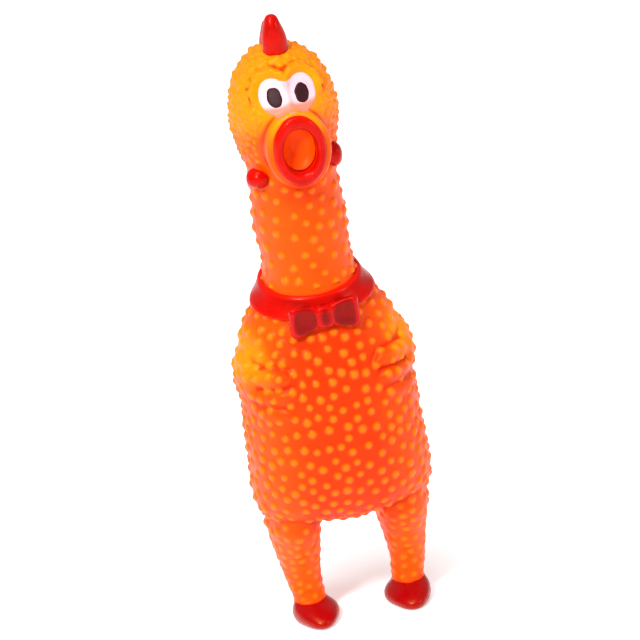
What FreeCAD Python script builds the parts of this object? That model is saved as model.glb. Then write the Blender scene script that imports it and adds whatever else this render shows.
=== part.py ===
import FreeCAD, Part
import math
import os

# Rubber chicken with a squawker in its throat.
# Millimetres, +Z up, the face looks along -Y, the origin is on the floor midway between the soles.
# The skin is one hollow moulding, cut here at its bending folds and at its painted parts.

V = FreeCAD.Vector

# Skin and clearances
skin_wall = 2.4
soft_clearance = 0.3
seat_clearance = 0.15
fit_clearance = 0.05

# Steps up the body: the crotch over the soles, then each level over the one before it
crotch_height = 53.0
hip_rise = 9.0
belly_rise = 26.0
chest_rise = 34.0
shoulder_rise = 24.0
neck_root_rise = 26.0
neck_waist_rise = 52.0
cheek_rise = 34.0
brow_rise = 17.0
crown_rise = 15.0

# Half widths and half depths of the body at those heights
crotch_half_width = 33.0
crotch_half_depth = 19.0
hip_half_width = 42.0
hip_half_depth = 29.0
belly_half_width = 42.5
belly_half_depth = 34.0
chest_half_width = 41.5
chest_half_depth = 32.0
shoulder_half_width = 38.0
shoulder_half_depth = 28.0
neck_root_half_width = 23.2
neck_root_half_depth = 22.5
neck_waist_radius = 20.7
cheek_half_width = 25.6
cheek_half_depth = 27.0
brow_half_width = 22.0
brow_half_depth = 22.5
crown_radius = 5.0

# How far the belly and the head stand forward of the soles' middle
belly_forward = 3.0
head_forward = 3.0

# Bending folds of the neck, each a sleeve that is as long as the fold
fold_length = 12.0
fold_pitch = 16.0
neck_bend_rise = 10.0

# Legs and feet
leg_spread_top = 26.2
leg_lean = 1.8
leg_top_half_width = 14.0
leg_top_half_depth = 23.0
leg_knee_height = 29.0
leg_knee_radius = 9.6
ankle_height = 10.0
ankle_radius = 7.5
hip_fold_drop = 14.0
foot_toe_in = 1.6
foot_half_width = 11.0
foot_half_length = 16.0
foot_forward = 6.0
sole_share = 0.86

# Belly panel that the hand squeezes
panel_half_width = 18.0
panel_half_height = 27.0
panel_lift = 2.0

# Wings, folded along the sides, with feather tips that reach round to the breast
wing_lift = 8.0
wing_sink = 5.0
wing_forward = 5.0
wing_half_thickness = 8.0
wing_half_length = 17.0
wing_half_height = 15.0
feather_count = 3
feather_half_length = 12.0
feather_half_thickness = 4.8
feather_pitch = 9.0
feather_lift = 4.0
feather_inset_across = 11.0
feather_inset_back = 7.5
feather_turn = 48.0

# Tail stump on the back, which reaches as far behind the axis as the lips reach in front of it
tail_drop = 10.0
tail_tilt = 30.0
tail_half_width = 9.0
tail_half_length = 12.0
tail_half_height = 8.0

# Collar and bow tie
collar_drop = 9.0
collar_height = 10.0
collar_thickness = 2.6
bow_drop = 1.5
bow_loop_length = 17.0
bow_loop_root_half_height = 5.2
bow_loop_end_half_height = 7.4
bow_loop_half_thickness = 3.4
knot_half_width = 5.2
knot_half_height = 6.4
knot_half_thickness = 4.4
bow_seat = 1.0

# Beak, lips and mouth
mouth_drop = 10.5
beak_length = 10.0
beak_half_width = 15.2
beak_half_height = 19.5
lip_half_width = 12.6
lip_half_height = 17.6
mouth_half_width = 8.0
mouth_half_height = 11.4
mouth_depth = 9.0
mouth_cup_wall = 1.5
sound_hole_radius = 1.6
lip_bulge = 2.6

# Eyes and brows
eyes_over_mouth = 25.0
eye_overlap = 0.3
eye_half_width = 6.9
eye_half_height = 8.2
eye_bridge_half_height = 7.0
eye_patch_thickness = 0.7
pupil_half_width = 3.8
pupil_half_height = 4.7
pupil_thickness = 0.5
brow_band = 3.0
brow_thickness = 2.2

# Comb and wattles
comb_root_height = 3.0
comb_half_width = 5.8
comb_half_depth = 5.4
comb_height = 14.5
comb_lobe_pitch = 8.0
comb_forward = 8.8
comb_lobe_count = 3
comb_lobe_drop = 4.0
wattle_drop = 15.0
wattle_sink = 4.65
wattle_forward = 14.0
wattle_half_width = 5.2
wattle_half_depth = 5.5
wattle_half_height = 8.0

# Squawker in the throat
barrel_radius = 9.5
barrel_wall = 1.6
barrel_length = 24.0
barrel_below_flange = 15.0
flange_thickness = 3.0
reed_length = 13.0
reed_width = 6.0
reed_thickness = 0.3
reed_held_length = 2.4
reed_gap = 0.15
reed_channel_width = 3.0
reed_channel_depth = 2.5
wedge_length = 4.5
cap_thickness = 2.0
cap_hole_radius = 1.6
cap_hole_ring_radius = 5.0
cap_hole_count = 5

# Levels that follow from the steps
hip_height = crotch_height + hip_rise
belly_height = hip_height + belly_rise
chest_height = belly_height + chest_rise
shoulder_height = chest_height + shoulder_rise
neck_root_height = shoulder_height + neck_root_rise
neck_waist_height = neck_root_height + neck_waist_rise
cheek_height = neck_waist_height + cheek_rise
brow_height = cheek_height + brow_rise
crown_height = brow_height + crown_rise
neck_bend_height = neck_root_height + neck_bend_rise
neck_sway_height = neck_bend_height + fold_pitch
head_nod_height = neck_sway_height + fold_pitch

# Places that follow from the pieces which they sit on
hip_fold_bottom = crotch_height - hip_fold_drop
leg_spread_ankle = leg_spread_top - leg_lean
foot_spread = leg_spread_ankle - foot_toe_in
panel_height = belly_height + panel_lift
wing_height = chest_height + wing_lift
wing_out = chest_half_width - wing_sink
feather_top = wing_height + feather_lift
feather_out = chest_half_width - feather_inset_across
feather_forward = chest_half_depth - feather_inset_back
tail_height = belly_height - tail_drop
collar_bottom = neck_root_height - collar_drop
bow_height = collar_bottom - bow_drop
mouth_height = cheek_height - mouth_drop
eye_height = mouth_height + eyes_over_mouth
eye_spread = eye_half_width - eye_overlap
wattle_height = mouth_height - wattle_drop
wattle_spread = 0.5 * (neck_waist_radius + cheek_half_width) - wattle_sink

# Half side of the boxes that slice the body, larger than any piece
reach = 400.0

# The two sides of the body along X, as someone who looks at its face sees them
left = -1
right = 1

# Places that fix each oval section
curve_points = 12


def closed_curve(place):
    """A smooth closed curve through evenly spaced places on an ellipse; place takes a cosine and a sine."""
    turns = [2 * math.pi * number / curve_points for number in range(curve_points)]
    curve = Part.BSplineCurve()
    curve.interpolate(
        Points=[place(math.cos(turn), math.sin(turn)) for turn in turns],
        Parameters=[number / curve_points for number in range(curve_points + 1)],
        PeriodicFlag=True,
    )
    return Part.Wire(curve.toShape())


def oval(height, half_width, half_depth, forward=0.0, across=0.0):
    """A level ellipse; forward shifts it towards the face."""
    return closed_curve(lambda c, s: V(across + half_width * c, half_depth * s - forward, height))


def facing_oval(forward, half_width, half_height, height, across=0.0):
    """An upright ellipse across the face, at a distance in front of the middle."""
    return closed_curve(lambda c, s: V(across + half_width * c, -forward, height + half_height * s))


def side_oval(across, half_depth, half_height, forward, height):
    """An ellipse square to the X axis."""
    return closed_curve(lambda c, s: V(across, half_depth * c - forward, height + half_height * s))


def loft(wires):
    return Part.makeLoft(wires, True, False, False, 3)


def ball(across, forward, height, half_width, half_depth, half_height):
    """A pebble with three half sizes and a small flat at its top and bottom."""
    rings = []
    for degrees in (-78, -56, -30, 0, 30, 56, 78):
        turn = math.radians(degrees)
        narrow = math.cos(turn)
        rings.append(oval(height + half_height * math.sin(turn), narrow * half_width, narrow * half_depth,
                          forward, across))
    return loft(rings)


def slab(low, high):
    return Part.makeBox(2 * reach, 2 * reach, high - low, V(-reach, -reach, low))


def front_of(forward):
    """Everything in front of a distance from the middle."""
    return Part.makeBox(2 * reach, reach, 2 * reach, V(-reach, -reach - forward, -reach))


def body_form(inset):
    """The body from the crotch to the crown, drawn in by the inset all round."""
    rings = [
        (crotch_height + max(inset, 0), crotch_half_width, crotch_half_depth, 0.0),
        (0.5 * (crotch_height + hip_height), 0.93 * hip_half_width, 0.89 * hip_half_depth, 0.0),
        (hip_height, hip_half_width, hip_half_depth, 0.5 * belly_forward),
        (belly_height, belly_half_width, belly_half_depth, belly_forward),
        (chest_height, chest_half_width, chest_half_depth, belly_forward),
        (shoulder_height, shoulder_half_width, shoulder_half_depth, 0.5 * belly_forward),
        (
            0.55 * shoulder_height + 0.45 * neck_root_height,
            0.55 * shoulder_half_width + 0.45 * neck_root_half_width + 1.2,
            0.55 * shoulder_half_depth + 0.45 * neck_root_half_depth + 0.5,
            0.0,
        ),
        (neck_root_height, neck_root_half_width, neck_root_half_depth, 0.0),
        (0.5 * (neck_root_height + neck_waist_height), neck_waist_radius + 1.2, neck_waist_radius + 0.9, 0.0),
        (neck_waist_height, neck_waist_radius, neck_waist_radius, 0.0),
        (
            0.5 * (neck_waist_height + cheek_height),
            0.5 * (neck_waist_radius + cheek_half_width),
            0.5 * (neck_waist_radius + cheek_half_depth),
            0.5 * head_forward,
        ),
        (cheek_height, cheek_half_width, cheek_half_depth, head_forward),
        (brow_height, brow_half_width, brow_half_depth, head_forward),
        (0.35 * brow_height + 0.65 * crown_height, 0.7 * brow_half_width, 0.7 * brow_half_depth, 0.9 * head_forward),
        (crown_height - max(inset, 0), crown_radius + max(inset, 0), crown_radius + max(inset, 0), 0.9 * head_forward),
    ]
    return loft([oval(z, rx - inset, ry - inset, forward) for z, rx, ry, forward in rings])


def leg_form(side, inset):
    """One leg from inside the hip to the ankle."""
    rings = [
        (hip_height + 4.0, leg_spread_top, leg_top_half_width, leg_top_half_depth),
        (crotch_height, leg_spread_top, 0.95 * leg_top_half_width, 0.95 * leg_top_half_depth),
        (leg_knee_height, leg_spread_top, leg_knee_radius, 1.1 * leg_knee_radius),
        (ankle_height + max(inset, 0), leg_spread_ankle, ankle_radius, 1.1 * ankle_radius),
    ]
    return loft([oval(z, rx - inset, ry - inset, 0.0, side * x) for z, x, rx, ry in rings])


def panel_cutter(clearance):
    wires = [
        facing_oval(0.0, panel_half_width - clearance, panel_half_height - clearance, panel_height),
        facing_oval(3 * belly_half_depth, panel_half_width - clearance, panel_half_height - clearance, panel_height),
    ]
    return loft(wires)


def eye_cutter(middle, half_width, half_height):
    wires = [
        facing_oval(0.0, half_width, half_height, eye_height, middle),
        facing_oval(3 * cheek_half_depth, half_width, half_height, eye_height, middle),
    ]
    return loft(wires)


def eye_cutters(band):
    """The two eyes and the bridge between them, each wider and taller by the band."""
    cutters = [eye_cutter(side * eye_spread, eye_half_width + band, eye_half_height + band) for side in (left, right)]
    return cutters + [eye_cutter(0.0, eye_spread, eye_bridge_half_height + band)]


def save(name, shape):
    """Writes one piece, after joining what touches inside it."""
    shape = shape.removeSplitter()
    solids = [s for s in shape.Solids if s.Volume > 0.5]
    whole = solids[0] if len(solids) == 1 else Part.makeCompound(solids)
    whole.exportStep("parts/" + name + ".step")
    print(name, len(solids), "solid(s)", round(whole.Volume / 1000, 2), "cm3", "valid", whole.isValid())


def save_pair(name, shape):
    """The left piece of a pair and its mirror image."""
    save("left_" + name, shape)
    save("right_" + name, shape.mirror(V(0, 0, 0), V(1, 0, 0)))


def torso():
    shell = skin.common(slab(0, neck_bend_height - fold_length / 2))
    for side in (left, right):
        shell = shell.cut(leg_form(side, skin_wall))
    return shell.cut(panel_cutter(0.0))


def belly_panel():
    return skin.common(panel_cutter(soft_clearance))


def sleeve(low, high):
    return skin.common(slab(low, high))


def wing(side):
    form = ball(side * wing_out, wing_forward, wing_height, wing_half_thickness, wing_half_length, wing_half_height)
    for number in range(feather_count):
        tip = ball(0, 0, 0, feather_half_thickness, feather_half_length, feather_half_thickness)
        tip.rotate(V(0, 0, 0), V(0, 0, 1), -side * feather_turn)
        tip.translate(V(side * feather_out, -feather_forward, feather_top - number * feather_pitch))
        form = form.fuse(tip)
    return form.cut(seat)


def tail():
    tilt = math.radians(tail_tilt)
    half_reach = math.hypot(tail_half_length * math.cos(tilt), tail_half_height * math.sin(tilt))
    stump = ball(0, 0, 0, tail_half_width, tail_half_length, tail_half_height)
    stump.rotate(V(0, 0, 0), V(1, 0, 0), tail_tilt)
    stump.translate(V(0, beak_front + lip_bulge - half_reach, tail_height))
    return stump.cut(seat)


def collar(clearance):
    """The band that stands on the neck's root, larger all round by the clearance."""
    band = body_form(-collar_thickness - clearance).cut(body)
    return band.common(slab(collar_bottom - clearance, collar_bottom + collar_height + clearance))


def front_of_form(form, height):
    """How far forward a form reaches at a height, straight ahead of the middle."""
    sight = Part.makeLine(V(0, -reach, height), V(0, 0, height))
    return max(-vertex.Y for vertex in sight.common(form).Vertexes)


def knot(grow):
    """The bow's knot, larger all round by the growth."""
    form = ball(0, bow_forward, bow_height, knot_half_width + grow, knot_half_thickness + grow,
                knot_half_height + grow)
    return form.cut(collar_seat)


def bow_loop(side):
    root = 0.4 * knot_half_width
    wires = [
        side_oval(side * root, 0.8 * bow_loop_half_thickness, bow_loop_root_half_height, bow_forward, bow_height),
        side_oval(side * (0.5 * bow_loop_length), bow_loop_half_thickness, 0.82 * bow_loop_end_half_height,
                  bow_forward, bow_height),
        side_oval(side * (0.9 * bow_loop_length), 0.9 * bow_loop_half_thickness, bow_loop_end_half_height,
                  bow_forward - 0.6, bow_height),
        side_oval(side * bow_loop_length, 0.5 * bow_loop_half_thickness, 0.85 * bow_loop_end_half_height,
                  bow_forward - 0.8, bow_height),
    ]
    return loft(wires).cut(collar_seat).cut(knot(fit_clearance))


def leg_tube(side):
    return leg_form(side, 0.0).cut(leg_form(side, skin_wall)).cut(seat)


def foot(side):
    wires = [
        oval(0.0, sole_share * foot_half_width, sole_share * foot_half_length, foot_forward, side * foot_spread),
        oval(0.4 * ankle_height, foot_half_width, foot_half_length, foot_forward, side * foot_spread),
        oval(0.75 * ankle_height, 0.85 * foot_half_width, 0.8 * foot_half_length, 0.7 * foot_forward,
             side * (0.4 * foot_spread + 0.6 * leg_spread_ankle)),
        oval(ankle_height, ankle_radius, 1.1 * ankle_radius, 0.0, side * leg_spread_ankle),
    ]
    return loft(wires)


def head():
    shell = skin.common(slab(head_nod_height + fold_length / 2, reach))
    return shell.cut(mouth_hole)


def beak():
    face = cheek_half_depth + head_forward
    wires = [
        facing_oval(0.4 * face, 0.95 * beak_half_width, 0.85 * beak_half_height, mouth_height),
        facing_oval(0.8 * face, 0.98 * beak_half_width, 0.94 * beak_half_height, mouth_height),
        facing_oval(beak_front - 0.3 * beak_length, beak_half_width, beak_half_height, mouth_height),
        facing_oval(beak_front, 1.03 * lip_half_width, 1.03 * lip_half_height, mouth_height),
    ]
    return loft(wires).cut(mouth_hole).cut(seat)


def lips():
    ring_radius = 0.5 * (lip_half_width + mouth_half_width)
    ring_thick = 0.5 * (lip_half_width - mouth_half_width)
    ring = Part.makeTorus(ring_radius, ring_thick, V(0, 0, 0), V(0, 1, 0))
    shape = FreeCAD.Matrix()
    shape.scale(1.0, lip_bulge / ring_thick, lip_half_height / lip_half_width)
    shape.move(V(0, -beak_front, mouth_height))
    return ring.transformGeometry(shape).common(front_of(beak_front))


def mouth_tube(clearance):
    """The straight way through the beak into the head, narrower all round by the clearance."""
    return loft([
        facing_oval(forward, mouth_half_width - clearance, mouth_half_height - clearance, mouth_height)
        for forward in (0.3 * beak_front, beak_front)
    ])


def mouth_cup():
    back = beak_front - mouth_depth
    bore = loft([
        facing_oval(back + mouth_cup_wall, 0.8 * (mouth_half_width - mouth_cup_wall),
                    0.8 * (mouth_half_height - mouth_cup_wall), mouth_height),
        facing_oval(beak_front, mouth_half_width - mouth_cup_wall, mouth_half_height - mouth_cup_wall,
                    mouth_height),
    ])
    cup = mouth_tube(fit_clearance).common(front_of(back)).cut(front_of(beak_front)).cut(bore)
    hole = Part.makeCylinder(sound_hole_radius, reach, V(0, 0, mouth_height), V(0, -1, 0))
    return cup.cut(hole)


def raised(thickness, cutters):
    """A patch that stands proud of the head by its thickness, inside the cutters."""
    outline = cutters[0]
    for cutter in cutters[1:]:
        outline = outline.fuse(cutter)
    return body_form(-thickness).common(outline)


def eye_patch():
    return raised(eye_patch_thickness, eye_cutters(0.0)).cut(seat).cut(beak_piece)


def pupil(side):
    cutters = [eye_cutter(side * eye_spread, pupil_half_width, pupil_half_height)]
    under = body_form(-eye_patch_thickness - seat_clearance)
    return raised(eye_patch_thickness + pupil_thickness, cutters).cut(under)


def brows():
    ridge = raised(brow_thickness, eye_cutters(brow_band)).cut(seat)
    for cutter in eye_cutters(fit_clearance):
        ridge = ridge.cut(cutter)
    return ridge.common(slab(eye_height, reach))


def comb_part(low, high):
    form = None
    for number in range(comb_lobe_count):
        drop = number * comb_lobe_drop
        forward = comb_forward - number * comb_lobe_pitch
        top = crown_height + comb_root_height + comb_height - drop
        wires = [
            oval(brow_height, comb_half_width, comb_half_depth, 0.6 * forward),
            oval(crown_height + comb_root_height, comb_half_width, comb_half_depth, forward),
            oval(top - 0.3 * comb_height, 0.85 * comb_half_width, 0.85 * comb_half_depth, forward),
            oval(top - 0.08 * comb_height, 0.6 * comb_half_width, 0.6 * comb_half_depth, forward),
            oval(top, 0.25 * comb_half_width, 0.25 * comb_half_depth, forward),
        ]
        lobe = loft(wires)
        form = lobe if form is None else form.fuse(lobe)
    return form.common(slab(low, high)).cut(seat)


def wattle(side):
    form = ball(side * wattle_spread, wattle_forward, wattle_height,
                wattle_half_width, wattle_half_depth, wattle_half_height)
    return form.cut(seat).cut(beak_piece)


def squawker_barrel():
    low = neck_waist_height - barrel_below_flange
    tube = Part.makeCylinder(barrel_radius, barrel_length, V(0, 0, low))
    flange_radius = neck_waist_radius - skin_wall - soft_clearance
    flange = Part.makeCylinder(flange_radius, flange_thickness, V(0, 0, neck_waist_height - flange_thickness / 2))
    bore = Part.makeCylinder(barrel_radius - barrel_wall, barrel_length, V(0, 0, low))
    return tube.fuse(flange).cut(bore)


def half_plug(low, high, near, towards_back):
    """Half of a rod that fills the barrel's bore, on one side of the reed."""
    rod = Part.makeCylinder(barrel_radius - barrel_wall - fit_clearance, high - low, V(0, 0, low))
    keep = Part.makeBox(2 * reach, reach, 2 * reach, V(-reach, near, -reach))
    if not towards_back:
        keep = Part.makeBox(2 * reach, reach, 2 * reach, V(-reach, -reach - near, -reach))
    return rod.common(keep)


def reed_plate():
    low = reed_root - reed_length
    plate = half_plug(low, reed_root + wedge_length, 0.0, True)
    channel = Part.makeBox(reed_channel_width, reed_channel_depth, reed_length,
                           V(-reed_channel_width / 2, 0, low))
    return plate.cut(channel)


def reed_tongue():
    return Part.makeBox(reed_width, reed_thickness, reed_length + reed_held_length,
                        V(-reed_width / 2, -reed_gap - reed_thickness, reed_root - reed_length))


def reed_wedge():
    return half_plug(reed_root, reed_root + wedge_length, 2 * reed_gap + reed_thickness, False)


def squawker_cap():
    low = neck_waist_height - barrel_below_flange + barrel_length
    disc = Part.makeCylinder(barrel_radius, cap_thickness, V(0, 0, low))
    for number in range(cap_hole_count):
        angle = 2 * math.pi * number / cap_hole_count
        centre = V(cap_hole_ring_radius * math.cos(angle), cap_hole_ring_radius * math.sin(angle), low)
        disc = disc.cut(Part.makeCylinder(cap_hole_radius, cap_thickness, centre))
    return disc


os.makedirs("parts", exist_ok=True)

body = body_form(0.0)
seat = body_form(-seat_clearance)
skin = body.cut(body_form(skin_wall))
beak_front = cheek_half_depth + head_forward + 0.5 * beak_length
mouth_hole = mouth_tube(0.0)
reed_root = neck_waist_height + 2.0
beak_piece = beak()
collar_band = collar(0.0)
collar_seat = seat.fuse(collar(seat_clearance))
bow_forward = front_of_form(body_form(-collar_thickness), bow_height) + bow_seat

save("torso_skin", torso())
save("belly_panel", belly_panel())
save("tail_stump", tail())
save("collar_band", collar_band)
save("bow_knot", knot(0.0))
save("neck_base_fold", sleeve(neck_bend_height - fold_length / 2, neck_bend_height + fold_length / 2))
save("neck_lower_ring", sleeve(neck_bend_height + fold_length / 2, neck_sway_height - fold_length / 2))
save("neck_middle_fold", sleeve(neck_sway_height - fold_length / 2, neck_sway_height + fold_length / 2))
save("neck_upper_ring", sleeve(neck_sway_height + fold_length / 2, head_nod_height - fold_length / 2))
save("nape_fold", sleeve(head_nod_height - fold_length / 2, head_nod_height + fold_length / 2))
save("head_skin", head())
save("beak", beak_piece)
save("lip_ring", lips())
save("mouth_cup", mouth_cup())
save("brow_ridge", brows())
save("eye_patch", eye_patch())
save("comb_root", comb_part(0, crown_height + comb_root_height))
save("comb", comb_part(crown_height + comb_root_height, reach))
tube = leg_tube(left)
save_pair("wing", wing(left))
save_pair("bow_loop", bow_loop(left))
save_pair("hip_fold", tube.common(slab(hip_fold_bottom, reach)))
save_pair("leg", tube.common(slab(ankle_height, hip_fold_bottom)))
save_pair("foot", foot(left))
save_pair("pupil", pupil(left))
save_pair("wattle", wattle(left))
save("squawker_barrel", squawker_barrel())
save("squawker_cap", squawker_cap())
save("reed_plate", reed_plate())
save("reed_tongue", reed_tongue())
save("reed_wedge", reed_wedge())
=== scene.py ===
# %% [markdown]
# A rubber chicken is one soft hollow moulding. The CAD frame already holds its real sizes, its folds and
# its joints, so this lesson dresses that frame: it grows one continuous skin over it, raises the goose
# pimples as real geometry, sprays the colours, and then cuts the skin where the CAD says that it bends.

# %% Load the frame
import math
import random

import bmesh
import bpy
import numpy as np
from mathutils import Matrix, Vector, noise
from mathutils.bvhtree import BVHTree
from mathutils.kdtree import KDTree


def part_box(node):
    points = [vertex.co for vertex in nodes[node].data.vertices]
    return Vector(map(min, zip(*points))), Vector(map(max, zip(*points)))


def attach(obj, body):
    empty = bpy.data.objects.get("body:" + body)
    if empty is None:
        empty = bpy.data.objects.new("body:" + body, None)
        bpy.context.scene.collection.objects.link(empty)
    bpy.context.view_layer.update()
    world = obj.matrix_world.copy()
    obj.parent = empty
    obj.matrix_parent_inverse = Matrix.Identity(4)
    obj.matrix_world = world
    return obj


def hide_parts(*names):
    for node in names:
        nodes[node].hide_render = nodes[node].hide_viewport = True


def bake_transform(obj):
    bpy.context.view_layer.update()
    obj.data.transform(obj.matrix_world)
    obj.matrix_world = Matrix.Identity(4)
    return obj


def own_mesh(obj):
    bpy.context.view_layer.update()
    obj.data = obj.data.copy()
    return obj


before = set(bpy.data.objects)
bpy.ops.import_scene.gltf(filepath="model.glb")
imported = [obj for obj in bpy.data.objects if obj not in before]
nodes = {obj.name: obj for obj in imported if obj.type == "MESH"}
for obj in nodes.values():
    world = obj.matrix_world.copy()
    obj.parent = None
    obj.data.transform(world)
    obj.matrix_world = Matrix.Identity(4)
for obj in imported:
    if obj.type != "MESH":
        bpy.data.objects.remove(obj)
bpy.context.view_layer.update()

MM = 0.001

# %% [markdown]
# The camera comes first, so that every later choice can be judged through it. The toy was photographed
# from about 21 degrees above and a little to its right-hand side, with a long lens, and the picture leans
# to the left. A camera could be aimed by hand, but an aim point, two angles, a roll and a distance say
# what was seen.

# %% Camera
AIM = Vector((0.0019, 0.0, 0.1485))
CAMERA_DISTANCE = 4.0
CAMERA_AZIMUTH = math.radians(-8.5)
CAMERA_ELEVATION = math.radians(21.3)
CAMERA_ROLL = math.radians(-9.1)
FRAME_WIDTH_AT_AIM = 0.3046
SENSOR_WIDTH = 36.0


def make_camera():
    data = bpy.data.cameras.new("camera")
    data.sensor_width = SENSOR_WIDTH
    data.lens = SENSOR_WIDTH * CAMERA_DISTANCE / FRAME_WIDTH_AT_AIM
    camera = bpy.data.objects.new("camera", data)
    bpy.context.scene.collection.objects.link(camera)
    flat = math.cos(CAMERA_ELEVATION)
    look = Vector((
        -math.sin(CAMERA_AZIMUTH) * flat, math.cos(CAMERA_AZIMUTH) * flat, -math.sin(CAMERA_ELEVATION),
    ))
    camera.location = AIM - CAMERA_DISTANCE * look
    camera.rotation_euler = look.to_track_quat("-Z", "Y").to_euler()
    camera.rotation_euler.rotate_axis("Z", CAMERA_ROLL)
    bpy.context.scene.camera = camera
    return camera


camera = make_camera()
bpy.context.scene.view_settings.view_transform = "Standard"
print("camera at", [round(value, 3) for value in camera.location])

# %% [markdown]
# The studio is a white floor under soft lights. A white world fills the shadows, a key light from the
# upper left gives the small highlights, and a weaker one from the right keeps the other side open.

# %% Floor and lights
FLOOR_RADIUS = 6.0


def make_floor():
    mesh = bpy.data.meshes.new("floor")
    build = bmesh.new()
    bmesh.ops.create_circle(build, cap_ends=True, segments=96, radius=FLOOR_RADIUS)
    build.to_mesh(mesh)
    build.free()
    floor = bpy.data.objects.new("floor", mesh)
    bpy.context.scene.collection.objects.link(floor)
    material = bpy.data.materials.new("floor white")
    material.use_nodes = True
    shader = material.node_tree.nodes["Principled BSDF"]
    shader.inputs["Base Color"].default_value = (0.9, 0.9, 0.9, 1)
    shader.inputs["Roughness"].default_value = 0.6
    shader.inputs["Emission Color"].default_value = (1, 1, 1, 1)
    shader.inputs["Emission Strength"].default_value = 0.4
    mesh.materials.append(material)
    return floor


def soft_light(name, place, size, power, tint=(1, 1, 1)):
    data = bpy.data.lights.new(name, "AREA")
    data.shape = "DISK"
    data.size = size
    data.energy = power
    data.color = tint
    light = bpy.data.objects.new(name, data)
    light.location = place
    light.rotation_euler = (AIM - Vector(place)).to_track_quat("-Z", "Y").to_euler()
    bpy.context.scene.collection.objects.link(light)
    return light


floor = make_floor()
soft_light("key light", (-0.55, -0.8, 1.0), 0.2, 15.0)
soft_light("side light", (0.8, -0.5, 0.5), 0.35, 2.0)
sun = bpy.data.lights.new("high sun", "SUN")
sun.energy = 2.1
sun.angle = math.radians(35)
sun_lamp = bpy.data.objects.new("high sun", sun)
sun_lamp.rotation_euler = (math.radians(20), 0, math.radians(-30))
bpy.context.scene.collection.objects.link(sun_lamp)
world = bpy.data.worlds.new("white world")
world.use_nodes = True
world.node_tree.nodes["Background"].inputs["Color"].default_value = (1, 1, 1, 1)
world.node_tree.nodes["Background"].inputs["Strength"].default_value = 0.38
bpy.context.scene.world = world
print("two soft lights, a high sun and a white world")

# %% [markdown]
# The skin has to have the size of the CAD part, whatever that size is. So its cross-sections are read off
# the frame: where the edges of the CAD meshes cross a level, their reach in X and Y gives an oval.
# Copying the numbers by hand would also work, until the part changes.

# %% Read cross-sections from the frame
BODY_NODES = [
    "torso_skin", "belly_panel", "neck_base_fold", "neck_lower_ring", "neck_middle_fold",
    "neck_upper_ring", "nape_fold", "head_skin",
]
LEG_TOP = 0.051


def edge_ends(names):
    """Both ends of every edge of these CAD nodes, as two arrays of points."""
    first, second = [], []
    for name in names:
        mesh = nodes[name].data
        points = np.zeros(len(mesh.vertices) * 3)
        mesh.vertices.foreach_get("co", points)
        pairs = np.zeros(len(mesh.edges) * 2, int)
        mesh.edges.foreach_get("vertices", pairs)
        points = points.reshape(-1, 3)
        first.append(points[pairs[0::2]])
        second.append(points[pairs[1::2]])
    return np.vstack(first), np.vstack(second)


def section(ends, height):
    """The reach of a form at a level: left, right, front and back."""
    a, b = ends
    crossing = (a[:, 2] - height) * (b[:, 2] - height) < 0
    a, b = a[crossing], b[crossing]
    share = (height - a[:, 2]) / (b[:, 2] - a[:, 2])
    points = a + share[:, None] * (b - a)
    return np.array([points[:, 0].min(), points[:, 0].max(), points[:, 1].min(), points[:, 1].max()])


def sections(names, low, high, step):
    ends = edge_ends(names)
    heights = np.linspace(low, high, max(3, int(round((high - low) / step)) + 1))
    return heights, np.array([section(ends, height) for height in heights])


body_low, body_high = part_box("torso_skin")[0].z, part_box("head_skin")[1].z
body_heights, body_sections = sections(BODY_NODES, body_low + 0.4 * MM, body_high - 0.3 * MM, 2.0 * MM)
leg_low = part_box("left_leg")[0].z
leg_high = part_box("left_hip_fold")[1].z
leg_heights, leg_sections = sections(["left_leg", "left_hip_fold"], leg_low + 0.2 * MM, LEG_TOP, 1.5 * MM)
foot_heights, foot_sections = sections(["left_foot"], 0.1 * MM, leg_low - 0.1 * MM, 1.2 * MM)
print(len(body_heights), "body,", len(leg_heights), "leg and", len(foot_heights), "foot sections")

# %% [markdown]
# Each base form is a closed tube through those sections. A plain oval makes the torso look like a bottle,
# so the power of the oval can be raised a little, which fills its corners the way a stuffed belly does.

# %% Base forms
AROUND = 96


def face_outwards(mesh):
    build = bmesh.new()
    build.from_mesh(mesh)
    bmesh.ops.recalc_face_normals(build, faces=build.faces)
    build.to_mesh(mesh)
    build.free()


def tube_mesh(name, rings):
    """A closed mesh through rings of points, each ring an array of AROUND points."""
    count = len(rings)
    points = np.vstack(rings)
    centres = [rings[0].mean(0), rings[-1].mean(0)]
    faces = []
    for row in range(count - 1):
        for step in range(AROUND):
            a, b = row * AROUND + step, row * AROUND + (step + 1) % AROUND
            faces.append((a, b, b + AROUND, a + AROUND))
    low, high = count * AROUND, count * AROUND + 1
    for step in range(AROUND):
        nxt = (step + 1) % AROUND
        faces.append((low, nxt, step))
        faces.append((high, (count - 1) * AROUND + step, (count - 1) * AROUND + nxt))
    mesh = bpy.data.meshes.new(name)
    mesh.from_pydata([tuple(p) for p in points] + [tuple(c) for c in centres], [], faces)
    face_outwards(mesh)
    form = bpy.data.objects.new(name, mesh)
    bpy.context.scene.collection.objects.link(form)
    return form


def oval_ring(left, right, front, back, height, power=2.0, lobes=0.0):
    """A level ring; power above 2 fills the oval's corners, lobes swells it into three toes."""
    turn = np.arange(AROUND) * 2 * math.pi / AROUND
    across, along = np.cos(turn), np.sin(turn)
    x = np.sign(across) * np.abs(across) ** (2 / power)
    y = np.sign(along) * np.abs(along) ** (2 / power)
    swell = 1 + lobes * np.cos(3 * (turn + math.pi / 2))
    centre_x, centre_y = 0.5 * (left + right), 0.5 * (front + back)
    return np.column_stack([
        centre_x + 0.5 * (right - left) * x * swell,
        centre_y + 0.5 * (back - front) * y * swell,
        np.full(AROUND, height),
    ])


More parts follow.
